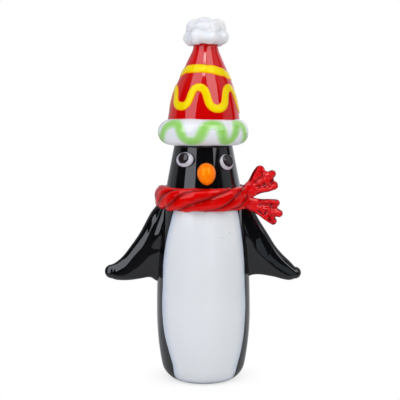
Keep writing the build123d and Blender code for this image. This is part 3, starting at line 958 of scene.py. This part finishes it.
def pressedThread():
    tree = NodeTree(bpy.data.node_groups.new("pressedThread", "GeometryNodeTree"), {
        "Geometry": "Geometry", "Length": "Half Width, Stand, Heart Radius, Heart Height, Spacing",
        "Float": "Uneven, Seed, Edge Power", "Object": "Surface", "Material": "Material",
    }, {"Geometry": "Geometry"})
    given = tree.given
    path = tree.node("GeometryNodeMeshToCurve", Mesh=given["Geometry"])
    even = tree.node("GeometryNodeResampleCurve", mode="LENGTH", Curve=path["Curve"],
                     Length=given["Spacing"])
    # the section's normal points away from the heart, a ring inside what the thread lies on
    place = tree.node("GeometryNodeInputPosition")["Position"]
    flat = tree.vector("NORMALIZE", tree.vector("MULTIPLY", place, (1.0, 1.0, 0.0)))
    heart = tree.vector("ADD", tree.vector("SCALE", flat, Scale=given["Heart Radius"]),
                        tree.combined(0.0, 0.0, given["Heart Height"]))
    lined = tree.node("GeometryNodeSetCurveNormal", mode="FREE", Curve=even["Curve"],
                      Normal=tree.vector("NORMALIZE", tree.vector("SUBTRACT", place, heart)))
    shifted = tree.vector("ADD", place, tree.vector("SCALE", (1.0, 1.0, 1.0), Scale=given["Seed"]))
    rough = tree.node("ShaderNodeTexNoise", Vector=shifted, Scale=pressed["roughScale"])
    swell = tree.plus(1.0, tree.times(
        tree.math("SUBTRACT", rough["Fac"], 0.5), given["Uneven"]))
    section = tree.node("GeometryNodeCurvePrimitiveCircle", Resolution=pressed["sides"], Radius=1.0)
    spot = tree.node("GeometryNodeInputPosition")["Position"]
    sides = tree.parts(spot)
    across = tree.math("ABSOLUTE", sides["Y"])
    edge = tree.math("POWER", across, given["Edge Power"])
    full = tree.math("SUBTRACT", 1.0, tree.math("POWER", across, pressed["padSteepness"]))
    full = tree.math("POWER", tree.math("MAXIMUM", full, 0.0), pressed["padRounding"])
    raised = tree.times(full, tree.math("SIGN", sides["X"]), given["Stand"])
    kept = tree.keep(tree.keep(section["Curve"], "edge", edge), "raised", raised)
    squeezed = tree.move(kept, tree.vector(
        "MULTIPLY", spot, tree.combined(given["Stand"], given["Half Width"], 0.0)))
    tube = tree.node("GeometryNodeCurveToMesh", Curve=lined["Curve"],
                     Profile_Curve=squeezed, Scale=swell)
    # every point is laid on the surface below, so the thread bends with it
    under = tree.node("GeometryNodeObjectInfo", Object=given["Surface"])["Geometry"]
    ground, outward = [
        tree.node("GeometryNodeSampleNearestSurface", data_type="FLOAT_VECTOR", Mesh=under,
                  Value=tree.node(kind)[0])["Value"]
        for kind in ("GeometryNodeInputPosition", "GeometryNodeInputNormal")]
    height = tree.node("GeometryNodeInputNamedAttribute", data_type="FLOAT", Name="raised")
    lift = tree.vector("SCALE", outward, Scale=height["Attribute"])
    tree.finish(tree.move(tube["Mesh"], tree.vector("ADD", ground, lift)))
    return tree


def loopPath(points, place, roundness):
    # A smooth closed path through (turn share, swing) points, put on the surface point by point
    samples, path = pressed["samples"], []
    for index, (turn, swing) in enumerate(points):
        after = (index + 1) % len(points)
        nextTurn, nextSwing = points[after]
        nextTurn += 0 if after else 1
        for step in range(samples):
            share = step / samples
            # level at crests and troughs and quick along them, so that each is a wide U
            ease = 0.5 - 0.5 * cos(pi * share)
            along = share + roundness * sin(2 * pi * share) / (2 * pi)
            path.append(place(turn * (1 - along) + nextTurn * along,
                              swing * (1 - ease) + nextSwing * ease))
    return path


def onHat(turnShare, rise):
    return around(360 * turnShare, hatRadius(rise), hatBase + rise)


def onBrim(turnShare, swing):
    angle = radians(swing)
    return brimPlace(360 * turnShare, cos(angle), sin(angle), brim["sectionRadius"])


def threadPiece(name, thread, place, surface, material):
    points = [(turn, thread["rise"] + thread["swing"] * swing) for turn, swing in thread["points"]]
    path = [leaned(point) for point in loopPath(points, place, thread["roundness"])]
    edges = [(index, (index + 1) % len(path)) for index in range(len(path))]
    piece = threadTree.onto(newMesh(name, path, [], edges=edges),
                            pressed | thread | dict(surface=surface, material=material))
    outwardFaces(piece)
    settle(piece, thread["node"])


threadTree = pressedThread()
threadPiece("hatBand", threads["band"], onHat, hatCone, glass["threadGlass"])
threadPiece("hatWave", threads["wave"], onHat, hatCone, glass["threadGlass"])
threadPiece("brimWave", threads["brimWave"], onBrim, hatBrim, glass["greenGlass"])
print("threads ready")


# Stage, light and camera

studio = dict(
    floorSize=4.0, floorDrop=0.00003, floorColour=(0.93, 0.93, 0.93), floorRoughness=0.7,
    floorShine=0.1, clearFrom=-0.010, clearTo=0.024, backdrop=1.0,
    # the paper as the glass mirrors it: far off in front, behind, and near the foot
    floorInGlass=0.05, floorBehindInGlass=0.7, floorNearInGlass=0.6, behindFrom=-0.03, behindTo=0.05,
    nearFrom=0.15, nearTo=0.24,
    # how bright the room looks in the glass: behind, beside, in front, overhead
    behindLeft=0.46, behindRight=1.0, besideRight=0.6, front=0.02, overhead=0.16,
    # where each starts and ends, in degrees round the object, and overhead as the height of a ray
    leftEdge=(-104, -94), rightEdge=(114, 124), besideStart=(58, 70), besideEnd=(102, 106),
    overheadEdge=(0.35, 0.85), roomColour=(0.95, 0.98, 1.04),
    # name, turns round the object, lowest and highest angle above it, distance, glow, tint, and
    # whether the glass mirrors it
    boxes=[
        ("softBoxLeft", -66, -24, 4, 60, 0.50, 2.8, (0.95, 0.98, 1.08), True),
        ("softBoxRight", 14, 56, 23, 62, 0.50, 3.4, (1.0, 1.0, 1.0), True),
        ("softBoxRightLow", 37, 72, 18.3, 23, 0.50, 2.8, (0.98, 0.98, 1.04), True),
        ("topGlint", -17, 3, 55, 63, 0.45, 12.0, (1.0, 1.0, 1.0), True),
        ("dimCard", 7, 30, -6.5, 9, 0.55, 0.55, (0.85, 1.0, 1.15), True),
        ("fill", -50, 50, -6, 9, 0.70, 0.60, (1.0, 1.0, 1.0), False),
        ("fillLeft", -105, -50, -5, 40, 0.60, 0.26, (1.0, 1.0, 1.0), False),
        ("fillRight", 50, 105, -5, 40, 0.60, 0.26, (1.0, 1.0, 1.0), False),
    ],
    aimHeight=0.075,
    camera=dict(distance=0.300, height=0.08978, side=-0.0012, pitch=5.08, lens=76.95, sensor=36.0,
                clip=(0.01, 20.0)),
)


def stageFloor():
    half, low = studio["floorSize"] / toMetres / 2, -studio["floorDrop"] / toMetres
    paper = bpy.data.materials.new("palePaper")
    paper.use_nodes = True
    floor = newMesh("floor", [(-half, -half, low), (half, -half, low), (half, half, low),
                              (-half, half, low)], [[0, 1, 2, 3]], paper)
    tree, nodes = NodeTree(paper.node_tree), paper.node_tree.nodes
    shader = nodes["Principled BSDF"]
    ray = tree.node("ShaderNodeLightPath")
    place = tree.node("ShaderNodeTexCoord")["Object"]
    away = tree.vector("LENGTH", place)
    # the glass mirrors the paper darker than the eye sees it
    behind = tree.ramp(tree.parts(place)["Y"], studio["behindFrom"], studio["behindTo"],
                       studio["floorInGlass"], studio["floorBehindInGlass"])
    near = tree.ramp(away, studio["nearFrom"], studio["nearTo"], studio["floorNearInGlass"],
                     studio["floorInGlass"])
    tone = tree.blend(tree.math("SUBTRACT", 1.0, ray["Is Glossy Ray"]),
                      tree.math("MAXIMUM", behind, near), (*studio["floorColour"], 1))
    for label, source in {"Base Color": tone, "Roughness": studio["floorRoughness"],
                          "Specular IOR Level": studio["floorShine"]}.items():
        tree.give(shader.inputs[label], source)
    # the paper runs into the white backdrop a little way from the foot
    white = tree.node("ShaderNodeEmission", Color=(1, 1, 1, 1), Strength=studio["backdrop"])
    clear = tree.ramp(away, studio["clearFrom"], studio["clearTo"], 0.0, 1.0, "SMOOTHSTEP")
    tree.give(nodes["Material Output"].inputs["Surface"], tree.mixShaders(
        tree.times(clear, ray["Is Camera Ray"]), shader.outputs["BSDF"], white["Emission"]))


def softBoxes():
    for name, fromTurn, toTurn, low, high, distance, glow, tint, mirrored in studio["boxes"]:
        middle, half = radians(low + high) / 2, radians(high - low) / 2
        lamp = bpy.data.lights.new(name, "AREA")
        lamp.shape = "RECTANGLE"
        lamp.size = 2 * distance * cos(middle) * tan(radians(toTurn - fromTurn) / 2)
        lamp.size_y = 2 * distance * tan(half)
        lamp.energy = glow * pi * lamp.size * lamp.size_y
        lamp.color = tint
        light = newObject(name, lamp)
        light.location = around((fromTurn + toTurn) / 2, distance * cos(middle),
                                studio["aimHeight"] + distance * sin(middle))
        aim = Vector((0, 0, studio["aimHeight"])) - light.location
        light.rotation_euler = aim.to_track_quat("-Z", "Y").to_euler()
        light.visible_camera = False
        light.visible_glossy = mirrored


def surroundings():
    # White backdrop all round for the eye; in reflections it is dark in front and pale behind
    world = bpy.data.worlds.new("studio")
    scene.world = world
    world.use_nodes = True
    world.node_tree.nodes.clear()
    tree = NodeTree(world.node_tree)
    place = tree.parts(tree.node("ShaderNodeTexCoord")["Generated"])
    # turn of the ray round the object in degrees: 0 in front, positive to the right
    turn = tree.times(tree.math("ARCTAN2", place["X"], tree.times(place["Y"], -1.0)), 180 / pi)

    def soft(edge, fromValue, toValue, source=turn):
        return tree.ramp(source, *edge, fromValue, toValue, "SMOOTHSTEP")

    strength = tree.math("MAXIMUM", soft(studio["leftEdge"], studio["behindLeft"], 0.0),
                         soft(studio["rightEdge"], 0.0, studio["behindRight"]))
    strength = tree.plus(strength, tree.times(soft(studio["besideStart"], 0.0, studio["besideRight"]),
                                              soft(studio["besideEnd"], 1.0, 0.0)))
    above = soft(studio["overheadEdge"], 0.0, studio["overhead"], place["Z"])
    strength = tree.plus(tree.math("MAXIMUM", strength, above), studio["front"])
    felt = tree.node("ShaderNodeBackground", Color=(*studio["roomColour"], 1), Strength=strength)
    seen = tree.node("ShaderNodeBackground", Color=(1, 1, 1, 1), Strength=studio["backdrop"])
    ray = tree.node("ShaderNodeLightPath")["Is Camera Ray"]
    tree.node("ShaderNodeOutputWorld", Surface=tree.mixShaders(
        ray, felt["Background"], seen["Background"]))


def photoCamera():
    view = studio["camera"]
    lens = bpy.data.cameras.new("photoCamera")
    lens.lens, lens.sensor_width = view["lens"], view["sensor"]
    lens.clip_start, lens.clip_end = view["clip"]
    camera = newObject("photoCamera", lens)
    camera.location = (view["side"], -view["distance"], view["height"])
    camera.rotation_euler = (radians(90 - view["pitch"]), 0, 0)
    scene.camera = camera


stageFloor()
softBoxes()
surroundings()
photoCamera()
scene.view_settings.view_transform = "Standard"
scene.view_settings.look = "None"
print("studio ready")
